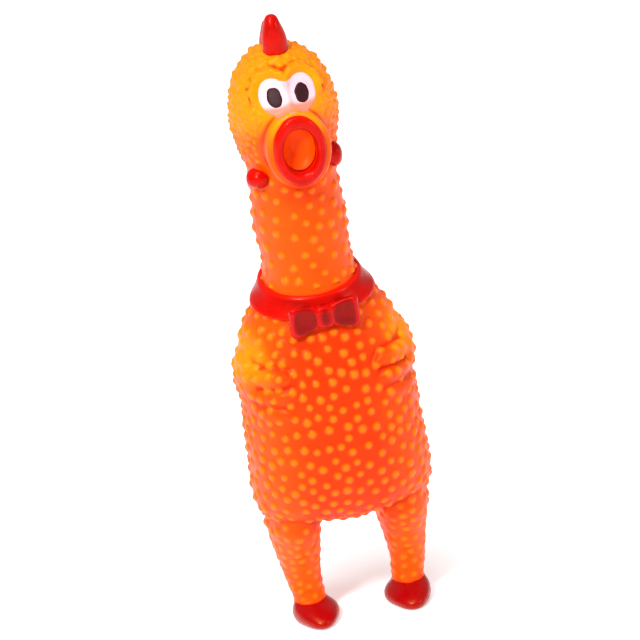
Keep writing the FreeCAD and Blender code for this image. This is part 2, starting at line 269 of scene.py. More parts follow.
def facing_ring(y, half_width, half_height, middle, across=0.0):
    turn = np.arange(AROUND) * 2 * math.pi / AROUND
    return np.column_stack([
        across + half_width * np.cos(turn), np.full(AROUND, y), middle + half_height * np.sin(turn),
    ])


def body_form():
    rings = []
    for height, (left, right, front, back) in zip(body_heights, body_sections):
        torso = np.clip((0.16 - height) / 0.03, 0, 1)
        rings.append(oval_ring(left, right, front, back, height, 2.0 + 0.25 * torso))
    return tube_mesh("body form", rings)


def leg_form(side):
    rings = []
    for height, (left, right, front, back) in zip(leg_heights, leg_sections):
        edges = (left, right) if side < 0 else (-right, -left)
        rings.append(oval_ring(edges[0], edges[1], front, back, height))
    top = leg_sections[-1]
    edges = (top[0], top[1]) if side < 0 else (-top[1], -top[0])
    rings.append(oval_ring(edges[0] * 0.97, edges[1], top[2], top[3], leg_high - 2 * MM))
    return tube_mesh("leg form", rings)


def foot_form(side):
    rings = []
    for number, (height, (left, right, front, back)) in enumerate(zip(foot_heights, foot_sections)):
        edges = (left, right) if side < 0 else (-right, -left)
        share = number / (len(foot_heights) - 1)
        rings.append(oval_ring(edges[0], edges[1], front, back, height, 2.0, 0.1 * (1 - share)))
    top = leg_sections[0]
    edges = (top[0], top[1]) if side < 0 else (-top[1], -top[0])
    rings.append(oval_ring(edges[0], edges[1], top[2], top[3], leg_low + 2 * MM))
    return tube_mesh("foot form", rings)


LEFT, RIGHT = -1, 1
base_forms = [body_form()]
for side in (LEFT, RIGHT):
    base_forms += [leg_form(side), foot_form(side)]
print(len(base_forms), "base forms")

# %% [markdown]
# Wings, tail and beak are small forms pressed into the body. The wings come straight from the CAD solids,
# copied and pressed in a little, because their feathers already lie where they should. The beak is a
# short oval tube.

# %% Wings, tail and beak forms
lip_low, lip_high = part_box("lip_ring")
beak_low, beak_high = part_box("beak")
MOUTH_HEIGHT = 0.5 * (lip_low.z + lip_high.z)
BEAK_FRONT = lip_high.y
LIP_FRONT = lip_low.y
LIP_HALF_WIDTH = 0.5 * (lip_high.x - lip_low.x)
LIP_HALF_HEIGHT = 0.5 * (lip_high.z - lip_low.z)
BEAK_HALF_WIDTH = 0.5 * (beak_high.x - beak_low.x)
BEAK_HALF_HEIGHT = 0.5 * (beak_high.z - beak_low.z)


def copy_of(name):
    twin = nodes[name].copy()
    twin.data = nodes[name].data.copy()
    twin.parent = None
    for key in list(twin.keys()):
        del twin[key]
    twin.name = name + " copy"
    bpy.context.scene.collection.objects.link(twin)
    return twin


def beak_form():
    steps = [(0.35, 0.95, 0.8), (0.75, 0.97, 0.93), (0.86, 1.0, 0.98), (0.93, 1.0, 1.0), (0.98, 0.96, 0.97),
             (1.0, 0.9, 0.92)]
    rings = []
    for forward, wide, tall in steps:
        rings.append(facing_ring(forward * BEAK_FRONT, wide * BEAK_HALF_WIDTH,
                                 tall * BEAK_HALF_HEIGHT, MOUTH_HEIGHT))
    return tube_mesh("beak form", rings)


base_forms.append(beak_form())
WING_PRESS_IN = 1.0 * MM
for side, word in ((LEFT, "left"), (RIGHT, "right")):
    wing = copy_of(word + "_wing")
    wing.data.transform(Matrix.Translation((-side * WING_PRESS_IN, 0.8 * WING_PRESS_IN, 0)))
    base_forms.append(wing)
base_forms.append(copy_of("tail_stump"))
print("mouth at", round(MOUTH_HEIGHT / MM, 1), "mm, beak front at", round(BEAK_FRONT / MM, 1), "mm")

# %% [markdown]
# Separate forms that only overlap would show their seams. A voxel remesh fuses everything that is inside
# any form into one even mesh, and a few rounds of smoothing turn the hard joins into the soft fillets of
# moulded vinyl. The mouth is cut first, with a boolean on the light base meshes, because a remesh can't
# subtract.

# %% Cut the mouth, fuse and smooth
VOXEL = 0.72 * MM
FILLET_ROUNDS = 14
MOUTH_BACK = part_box("mouth_cup")[1].y - 1.0 * MM
MOUTH_HALF_WIDTH = 0.72 * LIP_HALF_WIDTH
MOUTH_HALF_HEIGHT = 0.7 * LIP_HALF_HEIGHT


def apply_modifiers(piece):
    graph = bpy.context.evaluated_depsgraph_get()
    mesh = bpy.data.meshes.new_from_object(piece.evaluated_get(graph))
    piece.modifiers.clear()
    piece.data = mesh


def remove(piece):
    bpy.data.objects.remove(piece)


def cut_mouth(pieces):
    depth = MOUTH_BACK - LIP_FRONT
    rings = []
    for share in (-0.2, 0.0, 0.3, 0.6, 0.85, 0.96, 1.0):
        narrow = math.sqrt(max(0.12, 1 - max(0.0, share) ** 4))
        rings.append(facing_ring(LIP_FRONT + share * depth, narrow * MOUTH_HALF_WIDTH,
                                 narrow * MOUTH_HALF_HEIGHT, MOUTH_HEIGHT))
    cutter = tube_mesh("mouth cutter", rings)
    for piece in pieces:
        cut = piece.modifiers.new("mouth", "BOOLEAN")
        cut.operation = "DIFFERENCE"
        cut.object = cutter
        apply_modifiers(piece)
    remove(cutter)


def fuse(pieces, name, voxel, rounds):
    build = bmesh.new()
    for piece in pieces:
        build.from_mesh(piece.data)
    mesh = bpy.data.meshes.new(name)
    build.to_mesh(mesh)
    build.free()
    for piece in pieces:
        remove(piece)
    whole = bpy.data.objects.new(name, mesh)
    bpy.context.scene.collection.objects.link(whole)
    remesh = whole.modifiers.new("fuse", "REMESH")
    remesh.mode = "VOXEL"
    remesh.voxel_size = voxel
    smooth = whole.modifiers.new("fillets", "SMOOTH")
    smooth.factor = 0.5
    smooth.iterations = rounds
    apply_modifiers(whole)
    return whole


cut_mouth([base_forms[0], base_forms[5]])
skin = fuse(base_forms, "skin", VOXEL, FILLET_ROUNDS)
print("fused skin has", len(skin.data.vertices), "vertices")

# %% [markdown]
# From here the skin is shaped by moving its vertices along their normals, which is what a sculptor's
# brushes do. The brow arches, the crumpled head and the slack wrinkles of the belly and legs are smooth
# functions of place.

# %% Sculpt helpers


def read_points(mesh):
    values = np.zeros(len(mesh.vertices) * 3)
    mesh.vertices.foreach_get("co", values)
    return values.reshape(-1, 3)


def read_normals(mesh):
    values = np.zeros(len(mesh.vertices) * 3, np.float32)
    mesh.vertex_normals.foreach_get("vector", values)
    return values.reshape(-1, 3).astype(float)


def write_points(mesh, points):
    mesh.vertices.foreach_set("co", points.ravel())
    mesh.update()


def ramp(values, low, high):
    """Rises smoothly from 0 at low to 1 at high."""
    share = np.clip((values - low) / (high - low), 0, 1)
    return share * share * (3 - 2 * share)


def roughness_at(points, scale, seed):
    """Smooth noise from -1 to 1 at each point; scale is the size of its lumps."""
    shift = Vector((seed * 7.3, seed * 1.7, seed * 4.1))
    return np.array([noise.noise(Vector(point) / scale + shift) for point in points])


eye_low, eye_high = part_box("eye_patch")
pupil_low, pupil_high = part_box("left_pupil")
EYE_SPREAD = -0.5 * (pupil_low.x + pupil_high.x)
EYE_HEIGHT = 0.5 * (pupil_low.z + pupil_high.z)
EYE_HALF_WIDTH = eye_high.x - EYE_SPREAD
EYE_HALF_HEIGHT = 0.5 * (eye_high.z - eye_low.z)


def eye_distance(points):
    """0 at an eye's centre and 1 at its patch's edge, for the nearer eye."""
    x = (np.abs(points[:, 0]) - EYE_SPREAD) / EYE_HALF_WIDTH
    z = (points[:, 2] - EYE_HEIGHT) / EYE_HALF_HEIGHT
    return np.sqrt(x * x + z * z)


def mouth_distance(points):
    """1 on the outer edge of the lips."""
    x = points[:, 0] / LIP_HALF_WIDTH
    z = (points[:, 2] - MOUTH_HEIGHT) / LIP_HALF_HEIGHT
    return np.sqrt(x * x + z * z)


points = read_points(skin.data)
normals = read_normals(skin.data)
facing = ramp(-points[:, 1], 0.012, 0.02)
print("eyes", round(2 * EYE_SPREAD / MM, 1), "mm apart at", round(EYE_HEIGHT / MM, 1), "mm")

# %% [markdown]
# Now the brushes themselves. Each is a mask of place times a height, and the sum moves the vertices once.

# %% Brows, crumpled head and slack skin
BROW_RISE = 2.9 * MM
BROW_WIDTH = 1.5 * MM
BROW_GROOVE = 1.3 * MM
EYE_SINK = 0.6 * MM

eye_near = eye_distance(points)
brow_gap = (eye_near - 1.27) * 0.5 * (EYE_HALF_WIDTH + EYE_HALF_HEIGHT)
over_eyes = ramp(points[:, 2], EYE_HEIGHT - 5 * MM, EYE_HEIGHT + 3 * MM)
brow = np.exp(-(brow_gap / BROW_WIDTH) ** 2) * over_eyes
groove = np.exp(-((brow_gap - 2.9 * MM) / (1.1 * MM)) ** 2) * over_eyes
socket = ramp(-eye_near, -1.1, -0.75)
raise_by = facing * (BROW_RISE * brow - BROW_GROOVE * groove - EYE_SINK * socket)

lumps = roughness_at(points, 17 * MM, 1)
body_only = ramp(-points[:, 2], -0.235, -0.215)
raise_by += 0.55 * MM * lumps * body_only

turn = np.arctan2(points[:, 0], -points[:, 1])
stretched = np.column_stack([turn * 22 * MM, points[:, 1] * 0.2, points[:, 2] * 0.22])
wrinkles = roughness_at(stretched, 4.2 * MM, 2)
belly_slack = ramp(-points[:, 2], -0.115, -0.075) * ramp(points[:, 2], 0.045, 0.06)
raise_by += 0.4 * MM * wrinkles * belly_slack

crumpled = roughness_at(points * np.array([1.0, 1.0, 1.6]), 4.5 * MM, 5)
head_only = ramp(points[:, 2], 0.235, 0.25) * (1 - facing * ramp(-eye_near, -1.75, -1.45))
head_only *= 1 - facing * ramp(-mouth_distance(points), -1.5, -1.3)
raise_by += 0.55 * MM * (np.abs(crumpled) * 2 - 0.5) * head_only

level = np.column_stack([points[:, 0] * 0.35, points[:, 1] * 0.35, points[:, 2]])
rings = roughness_at(level, 3.4 * MM, 3)
legs_only = ramp(-points[:, 2], -0.052, -0.042) * ramp(points[:, 2], 0.009, 0.013)
raise_by += 0.45 * MM * rings * legs_only

points = points + raise_by[:, None] * normals
write_points(skin.data, points)
print("moved by up to", round(np.abs(raise_by).max() / MM, 2), "mm")

# %% [markdown]
# The goose pimples are what makes a plucked chicken. A bump texture would vanish at the outline, so each
# pimple is a small dome of real vertices. Their centres are scattered by dart throwing: a random vertex
# is kept if no kept one is nearer than the spacing of its region. The head's lumps are the densest, and
# eyes, beak, collar seat and feet have none.

# %% Goose pimples
random.seed(7)


def pimple_plan(points):
    """Spacing, radius and rise of the pimples at each point."""
    z = points[:, 2]
    head = ramp(z, 0.229, 0.243)
    neck = ramp(z, 0.165, 0.18) * (1 - head)
    leg = ramp(-z, -0.052, -0.042)
    spacing = 5.6 * MM + 0.8 * MM * neck - 2.0 * MM * head - 1.2 * MM * leg
    radius = 3.1 * MM - 0.7 * MM * head - 0.5 * MM * leg
    rise = 1.15 * MM - 0.15 * MM * head - 0.6 * MM * leg
    return spacing, radius, rise


def smooth_zones(points):
    """1 where the moulding is plain: eyes, beak, collar seat, feet and soles."""
    front = ramp(-points[:, 1], 0.01, 0.016)
    eyes = front * ramp(-eye_distance(points), -1.5, -1.3)
    mouth = front * ramp(-mouth_distance(points), -1.45, -1.3)
    collar_low, collar_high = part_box("collar_band")
    above = ramp(points[:, 2], collar_low.z - 1 * MM, collar_low.z)
    collar = above * ramp(-points[:, 2], -collar_high.z - 1 * MM, -collar_high.z)
    feet = ramp(-points[:, 2], -leg_low - 3 * MM, -leg_low + 0.5 * MM)
    return np.clip(eyes + mouth + collar + feet, 0, 1)


def scatter(points, spacing, allowed):
    """Random vertices that keep their spacing, through a grid of cells."""
    order = list(np.flatnonzero(allowed))
    random.shuffle(order)
    cell = spacing.min()
    reach = int(math.ceil(spacing.max() / cell))
    kept = {}
    chosen = []
    for index in order:
        x, y, z = points[index]
        key = (int(x // cell), int(y // cell), int(z // cell))
        limit = spacing[index] ** 2
        clear = True
        for i in range(-reach, reach + 1):
            for j in range(-reach, reach + 1):
                for k in range(-reach, reach + 1):
                    other = kept.get((key[0] + i, key[1] + j, key[2] + k))
                    if other is None:
                        continue
                    if (other[0] - x) ** 2 + (other[1] - y) ** 2 + (other[2] - z) ** 2 < limit:
                        clear = False
                        break
                if not clear:
                    break
            if not clear:
                break
        if clear:
            kept[key] = (x, y, z)
            chosen.append(index)
    return chosen


def nearest_seed(points, seeds):
    """For each point, the nearest seed and its distance."""
    tree = KDTree(len(seeds))
    for number, index in enumerate(seeds):
        tree.insert(points[index], number)
    tree.balance()
    found = [tree.find(point) for point in points]
    return np.array([hit[1] for hit in found]), np.array([hit[2] for hit in found])


normals = read_normals(skin.data)
spacing, radius, rise = pimple_plan(points)
plain = smooth_zones(points)
seeds = scatter(points, spacing, plain < 0.5)
seed_number, seed_distance = nearest_seed(points, seeds)
seed_size = np.array([random.uniform(0.85, 1.12) for _ in seeds])[seed_number]
dome = 0.5 + 0.5 * np.cos(np.pi * np.clip(seed_distance / (radius * seed_size), 0, 1))
dome *= 1 - plain
points = points + (dome * rise * seed_size)[:, None] * normals
points[:, 2] = np.maximum(points[:, 2], 0.0)
write_points(skin.data, points)
print(len(seeds), "goose pimples")

# %% [markdown]
# The colour follows the form: the spray gun colours the front, the hollows of the skin get painted shade as a
# deeper red, and the raised pimple tops are lighter, part thinner paint and part painted highlight. So a
# relief value is measured from the mesh itself. A heavily smoothed copy is the mean surface, and the distance
# to it along the normal says how far a point stands proud or lies in a fold.

# %% Measure relief and store it on the mesh
RELIEF_ROUNDS = 45


def neighbour_mean(values, edges, degree):
    total = np.zeros_like(values)
    np.add.at(total, edges[:, 0], values[edges[:, 1]])
    np.add.at(total, edges[:, 1], values[edges[:, 0]])
    return total / degree[:, None]


def measure_relief(mesh, points, normals, rounds):
    pairs = np.zeros(len(mesh.edges) * 2, int)
    mesh.edges.foreach_get("vertices", pairs)
    edges = pairs.reshape(-1, 2)
    degree = np.bincount(edges.ravel(), minlength=len(points)).astype(float)
    mean = points.copy()
    for _ in range(rounds):
        mean = neighbour_mean(mean, edges, degree)
    return ((points - mean) * normals).sum(1)


def store(mesh, name, values):
    kind = "FLOAT_VECTOR" if values.ndim == 2 else "FLOAT"
    attribute = mesh.attributes.new(name, kind, "POINT")
    attribute.data.foreach_set("vector" if values.ndim == 2 else "value", values.astype(np.float32).ravel())


normals = read_normals(skin.data)
relief = measure_relief(skin.data, points, normals, RELIEF_ROUNDS)
store(skin.data, "rest", points)
store(skin.data, "smooth_normal", normals)
store(skin.data, "relief", relief / MM)
store(skin.data, "pimple", dome)
print("relief from", round(relief.min() / MM, 2), "to", round(relief.max() / MM, 2), "mm")

# %% [markdown]
# Every finish shares two effects, so they are node groups: a cloudy variation that keeps large areas from
# looking flat, and a fine grain that stands for the mould's surface. The groups only give out values, and
# the shaders stay in the materials.

# %% Shared node groups


def new_group(name, inputs, outputs):
    group = bpy.data.node_groups.new(name, "ShaderNodeTree")
    for title, kind, value in inputs:
        socket = group.interface.new_socket(title, in_out="INPUT", socket_type=kind)
        if value is not None:
            socket.default_value = value
    for title, kind in outputs:
        group.interface.new_socket(title, in_out="OUTPUT", socket_type=kind)
    return group, group.nodes.new("NodeGroupInput"), group.nodes.new("NodeGroupOutput")


def clouds_group():
    """Cloudy value about 0, from three sizes of noise."""
    group, given, out = new_group(
        "clouds",
        [("Place", "NodeSocketVector", None), ("Scale", "NodeSocketFloat", 60.0),
         ("Amount", "NodeSocketFloat", 1.0)],
        [("Value", "NodeSocketFloat")],
    )
    cloud = group.nodes.new("ShaderNodeTexNoise")
    cloud.inputs["Detail"].default_value = 3.0
    group.links.new(given.outputs["Place"], cloud.inputs["Vector"])
    group.links.new(given.outputs["Scale"], cloud.inputs["Scale"])
    centre = group.nodes.new("ShaderNodeMath")
    centre.operation = "SUBTRACT"
    centre.inputs[1].default_value = 0.5
    group.links.new(cloud.outputs["Fac"], centre.inputs[0])
    size = group.nodes.new("ShaderNodeMath")
    size.operation = "MULTIPLY"
    group.links.new(centre.outputs[0], size.inputs[0])
    group.links.new(given.outputs["Amount"], size.inputs[1])
    group.links.new(size.outputs[0], out.inputs["Value"])
    return group


def grain_group():
    """Fine mould grain as a height."""
    group, given, out = new_group(
        "mould grain",
        [("Place", "NodeSocketVector", None), ("Scale", "NodeSocketFloat", 900.0)],
        [("Height", "NodeSocketFloat")],
    )
    fine = group.nodes.new("ShaderNodeTexNoise")
    fine.inputs["Detail"].default_value = 2.0
    group.links.new(given.outputs["Place"], fine.inputs["Vector"])
    group.links.new(given.outputs["Scale"], fine.inputs["Scale"])
    group.links.new(fine.outputs["Fac"], out.inputs["Height"])
    return group


clouds = clouds_group()
grain = grain_group()


class Recipe:
    """A material under construction, with short calls for its nodes."""

    def __init__(self, name):
        self.material = bpy.data.materials.new(name)
        self.material.use_nodes = True
        self.tree = self.material.node_tree
        self.shader = self.tree.nodes["Principled BSDF"]

    def node(self, kind):
        return self.tree.nodes.new(kind)

    def join(self, output, target):
        self.tree.links.new(output, target)

    def attribute(self, name):
        node = self.node("ShaderNodeAttribute")
        node.attribute_name = name
        return node

    def ramp(self, source, low, high, to_low=0.0, to_high=1.0):
        node = self.node("ShaderNodeMapRange")
        node.interpolation_type = "SMOOTHSTEP"
        for title, value in (("From Min", low), ("From Max", high), ("To Min", to_low), ("To Max", to_high)):
            node.inputs[title].default_value = value
        self.join(source, node.inputs["Value"])
        return node.outputs["Result"]

    def maths(self, operation, a, b):
        node = self.node("ShaderNodeMath")
        node.operation = operation
        for index, value in enumerate((a, b)):
            if isinstance(value, (int, float)):
                node.inputs[index].default_value = value
            else:
                self.join(value, node.inputs[index])
        return node.outputs[0]

    def mix(self, share, first, second):
        """Mixes two colours; each is a node's output or red, green, blue."""
        node = self.node("ShaderNodeMix")
        node.data_type = "RGBA"
        self.join(share, node.inputs["Factor"])
        for socket, colour in ((node.inputs[6], first), (node.inputs[7], second)):
            if isinstance(colour, tuple):
                socket.default_value = (*colour, 1)
            else:
                self.join(colour, socket)
        return node.outputs[2]

    def clouds(self, place, scale, amount):
        node = self.node("ShaderNodeGroup")
        node.node_tree = clouds
        self.join(place, node.inputs["Place"])
        node.inputs["Scale"].default_value = scale
        node.inputs["Amount"].default_value = amount
        return node.outputs["Value"]

    def grain(self, place, scale, strength, distance):
        node = self.node("ShaderNodeGroup")
        node.node_tree = grain
        self.join(place, node.inputs["Place"])
        node.inputs["Scale"].default_value = scale
        bump = self.node("ShaderNodeBump")
        bump.inputs["Strength"].default_value = strength
        bump.inputs["Distance"].default_value = distance
        self.join(node.outputs["Height"], bump.inputs["Height"])
        self.join(bump.outputs["Normal"], self.shader.inputs["Normal"])

    def set(self, **values):
        for title, value in values.items():
            self.shader.inputs[title.replace("_", " ")].default_value = value


def srgb(red, green, blue):
    """A screen colour, 0 to 255, as the linear values that a shader takes."""
    def linear(value):
        share = value / 255
        return share / 12.92 if share <= 0.04045 else ((share + 0.055) / 1.055) ** 2.4
    return (linear(red), linear(green), linear(blue))


print("two shared groups")

# %% [markdown]
# The skin's colour is five layers: orange vinyl, a yellower head with a painted highlight along the
# shoulders, the red-orange spray on the breast, lighter tips on the pimples that are part thinner paint and
# part painted highlight, and painted shade in the folds as a deeper red. Red paint ends at the feet and
# inside the lips with an uneven edge, which noise gives to a plain distance.

# %% Orange skin material
ORANGE = srgb(230, 74, 0)
YELLOW = srgb(244, 126, 4)
SPRAY = srgb(208, 40, 0)
TIP_PAINT_AND_HIGHLIGHT = srgb(244, 112, 6)
FOLD_SHADE_RED = srgb(186, 22, 0)
PAINT_RED = srgb(150, 0, 8)
MOUTH_ORANGE = srgb(255, 72, 0)


def skin_material():
    recipe = Recipe("orange vinyl skin")
    place = recipe.attribute("rest").outputs["Vector"]
    spray = recipe.attribute("spray").outputs["Fac"]
    yellow_and_highlight = recipe.attribute("yellow_and_highlight").outputs["Fac"]
    relief_value = recipe.attribute("relief").outputs["Fac"]
    pimple = recipe.attribute("pimple").outputs["Fac"]
    cloud = recipe.clouds(place, 70.0, 0.5)
    colour = recipe.mix(recipe.ramp(recipe.maths("ADD", yellow_and_highlight, cloud), 0.15, 0.95), ORANGE, YELLOW)
    sprayed = recipe.ramp(recipe.maths("ADD", spray, cloud), 0.0, 1.1)
    colour = recipe.mix(sprayed, colour, SPRAY)
    # Lighter pimple tops: part thinner paint on the tops and part painted highlight.
    tip_paint_and_highlight = recipe.ramp(pimple, 0.0, 0.85, 0.0, 0.75)
    colour = recipe.mix(tip_paint_and_highlight, colour, recipe.mix(yellow_and_highlight, TIP_PAINT_AND_HIGHLIGHT, YELLOW))
    # Painted shade: the hollows of the skin turn a deeper red.
    fold_shade = recipe.ramp(relief_value, -0.1, -0.8, 0.0, 0.85)
    colour = recipe.mix(fold_shade, colour, FOLD_SHADE_RED)
    inside = recipe.attribute("mouth").outputs["Fac"]
    colour = recipe.mix(inside, colour, MOUTH_ORANGE)
    edge = recipe.clouds(place, 240.0, 0.5)
    red = recipe.ramp(recipe.maths("ADD", recipe.attribute("red_paint").outputs["Fac"], edge), 0.42, 0.58)
    colour = recipe.mix(red, colour, PAINT_RED)
    recipe.join(colour, recipe.shader.inputs["Base Color"])
    matt = recipe.ramp(recipe.clouds(place, 160.0, 1.0), -0.5, 0.5, 0.33, 0.5)
    smoother = recipe.maths("MULTIPLY", red, 0.12)
    recipe.join(recipe.maths("SUBTRACT", matt, smoother), recipe.shader.inputs["Roughness"])
    recipe.set(Subsurface_Weight=0.08, Subsurface_Scale=0.002, Specular_IOR_Level=0.3)
    recipe.shader.inputs["Specular Tint"].default_value = (1.0, 0.55, 0.2, 1)
    recipe.shader.inputs["Subsurface Radius"].default_value = (1.0, 0.35, 0.12)
    recipe.grain(place, 1500.0, 0.12, 0.0002)
    return recipe.material


def spray_masks(points):
    """Where the gun's red-orange spray and the yellower head lie, with a painted highlight along the
    shoulders, as values from 0 to 1.
    """
    x, y, z = points.T
    front = ramp(-y, 0.0, 0.03)
    breast = np.exp(-((x / 0.023) ** 2)) * front
    torso = ramp(-z, -0.168, -0.15)
    neck = ramp(z, 0.15, 0.17) * ramp(-z, -0.238, -0.222)
    under_beak = np.exp(-((x / 0.014) ** 2)) * np.exp(-(((z - 0.226) / 0.012) ** 2)) * front
    legs = ramp(-z, -0.05, -0.03)
    spray = breast * (0.95 * torso + 0.45 * neck) + 0.35 * torso * (1 - legs) * front + 0.7 * under_beak
    head = ramp(z, 0.238, 0.262)
    # A painted highlight: a lighter band along the tops of the shoulders over the wings.
    shoulder_highlight = np.exp(-(((z - 0.142) / 0.014) ** 2)) * ramp(np.abs(x), 0.022, 0.034)
    yellow_and_highlight = head * (1 - 0.55 * front * ramp(-z, -0.27, -0.25)) + 0.9 * shoulder_highlight
    return np.clip(spray, 0, 1), np.clip(yellow_and_highlight, 0, 1)


def paint_masks(points):
    """Red paint on the feet and round the lips, and the bright inside of the mouth."""
    x, y, z = points.T
    feet = ramp(-z, -leg_low - 1.2 * MM, -leg_low + 1.2 * MM)
    ring = mouth_distance(points)
    in_front = ramp(-y, -MOUTH_BACK - 4 * MM, -MOUTH_BACK - 2 * MM)
    inside = ramp(-ring, -0.86, -0.74) * in_front
    lip = ramp(-y, -LIP_FRONT - 7.5 * MM, -LIP_FRONT - 6 * MM) * ramp(-ring, -1.02, -0.95)
    return np.clip(feet + lip, 0, 1), np.clip(inside, 0, 1)


spray, yellow_and_highlight = spray_masks(points)
red_paint, inside = paint_masks(points)
for name, values in (("spray", spray), ("yellow_and_highlight", yellow_and_highlight), ("red_paint", red_paint), ("mouth", inside)):
    store(skin.data, name, values)
skin_vinyl = skin_material()
print("skin material with", len(skin_vinyl.node_tree.nodes), "nodes")

# %% [markdown]
# The painted trims are the same vinyl under glossier paint. One function makes them all, because they differ
# only in colour, gloss, how blotchy the brushwork is, a painted highlight on raised parts and a pinker blush.

# %% Paint materials


def paint_material(name, colour, deep, roughness, blotch=0.5, coat=0.08, light=None, blush=None,
                   tint=(1.0, 1.0, 1.0)):
    recipe = Recipe(name)
    place = recipe.node("ShaderNodeTexCoord").outputs["Object"]
    cloud = recipe.clouds(place, 110.0, blotch)
    mixed = recipe.mix(recipe.ramp(cloud, -0.2, 0.3), colour, deep)
    if light is not None:
        # Painted highlight: raised parts of the paint turn the lighter colour, following the relief.
        raised_highlight = recipe.ramp(recipe.attribute("relief").outputs["Fac"], 0.25, 0.9, 0.0, 0.6)
        mixed = recipe.mix(raised_highlight, mixed, light)
    if blush is not None:
        pinker = recipe.maths("ADD", recipe.attribute("blush").outputs["Fac"], cloud)
        mixed = recipe.mix(recipe.ramp(pinker, 0.2, 0.9), mixed, blush)
    recipe.join(mixed, recipe.shader.inputs["Base Color"])
    matt = recipe.ramp(recipe.clouds(place, 300.0, 1.0), -0.5, 0.5, roughness - 0.06, roughness + 0.08)
    recipe.join(matt, recipe.shader.inputs["Roughness"])
    recipe.set(Coat_Weight=coat, Coat_Roughness=0.12, Specular_IOR_Level=0.2)
    recipe.shader.inputs["Specular Tint"].default_value = (*tint, 1)
    recipe.shader.inputs["Coat Tint"].default_value = (*tint, 1)
    recipe.grain(place, 1300.0, 0.1, 0.0002)
    return recipe.material


WARM = (1.0, 0.3, 0.2)
red_paint_material = paint_material(
    "glossy red paint", srgb(188, 8, 0), srgb(142, 2, 2), 0.3, light=srgb(212, 20, 4), tint=WARM)
bow_material = paint_material(
    "dark red bow paint", srgb(134, 0, 2), srgb(88, 0, 2), 0.25, coat=0.12, light=srgb(206, 8, 6), tint=WARM)
eye_material = paint_material(
    "pinkish white eye paint", srgb(218, 182, 190), srgb(212, 160, 172), 0.45, coat=0.0,
    blush=srgb(240, 120, 96))
pupil_material = paint_material("near black pupil paint", srgb(30, 0, 6), srgb(56, 0, 10), 0.55, coat=0.0)
plastic_material = paint_material(
    "squawker plastic", srgb(232, 228, 212), srgb(214, 208, 188), 0.45, coat=0.05)
reed_material = paint_material("reed film", srgb(214, 226, 230), srgb(196, 210, 218), 0.2)
print("six trim materials")

# %% [markdown]
# Now the skin is cut into the pieces that the joints move. Each cut lies where both sides follow the same
# body, so the pieces never part. A cut mesh shades its rim as an edge, so the normals of the whole skin
# were stored before and are given back to each piece.

# %% Cut the skin at the joints
LOWER_SEAM = 0.5 * (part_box("neck_lower_ring")[0].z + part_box("neck_lower_ring")[1].z)
UPPER_SEAM = 0.5 * (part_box("neck_upper_ring")[0].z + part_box("neck_upper_ring")[1].z)
ANKLE_SEAM = leg_low + 0.4 * MM
BELLY_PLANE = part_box("belly_panel")[0].y + 5.0 * MM
BELLY_LOW, BELLY_HIGH = 0.055, 0.15
SEAM_BAND = 3 * MM
LEG_LIMIT = 0.11
HIP_START = Vector((8.0, 0.0, 55.0)) * MM
HIP_END = Vector((17.5, 0.0, 37.0)) * MM


def hip_side(points, side):
    """Above 0 on the leg's side of its slanted cut."""
    start = np.array([side * HIP_START.x, 0, HIP_START.z])
    along = np.array([side * (HIP_END.x - HIP_START.x), 0, HIP_END.z - HIP_START.z])
    return (points - start) @ along


def slice_mesh(build, point, normal, wanted):
    faces = [face for face in build.faces if wanted(face.calc_center_median())]
    touched = set(faces)
    geometry = list(touched)
    geometry += list({edge for face in faces for edge in face.edges})
    geometry += list({vertex for face in faces for vertex in face.verts})
    bmesh.ops.bisect_plane(build, geom=geometry, plane_co=point, plane_no=normal)


def slice_all(mesh):
    build = bmesh.new()
    build.from_mesh(mesh)
    slice_mesh(build, (0, 0, LOWER_SEAM), (0, 0, 1), lambda c: abs(c.z - LOWER_SEAM) < SEAM_BAND)
    slice_mesh(build, (0, 0, UPPER_SEAM), (0, 0, 1), lambda c: abs(c.z - UPPER_SEAM) < SEAM_BAND)
    slice_mesh(build, (0, 0, ANKLE_SEAM), (0, 0, 1), lambda c: abs(c.z - ANKLE_SEAM) < SEAM_BAND)
    for side in (LEFT, RIGHT):
        start = Vector((side * HIP_START.x, 0, HIP_START.z))
        normal = Vector((side * (HIP_END.x - HIP_START.x), 0, HIP_END.z - HIP_START.z))
        slice_mesh(build, start, normal, lambda c: c.x * side > 0 and c.z < LEG_LIMIT)
    slice_mesh(build, (0, BELLY_PLANE, 0), (0, 1, 0),
               lambda c: BELLY_LOW < c.z < BELLY_HIGH and abs(c.y - BELLY_PLANE) < SEAM_BAND)
    build.to_mesh(mesh)
    build.free()


def face_centres(mesh):
    values = np.zeros(len(mesh.polygons) * 3)
    mesh.polygons.foreach_get("center", values)
    return values.reshape(-1, 3)


def piece_of(centres):
    """The name of the piece that each face belongs to."""
    x, y, z = centres.T
    names = np.full(len(centres), "torso skin", dtype=object)
    names[z > LOWER_SEAM] = "neck skin"
    names[z > UPPER_SEAM] = "head skin"
    for side, word in ((LEFT, "left"), (RIGHT, "right")):
        leg = (hip_side(centres, side) > 0) & (x * side > 0) & (z < LEG_LIMIT)
        names[leg] = word + " leg skin"
        names[leg & (z < ANKLE_SEAM)] = word + " foot"
    belly = (y < BELLY_PLANE) & (z > BELLY_LOW) & (z < BELLY_HIGH)
    names[belly & (names == "torso skin")] = "belly skin"
    return names


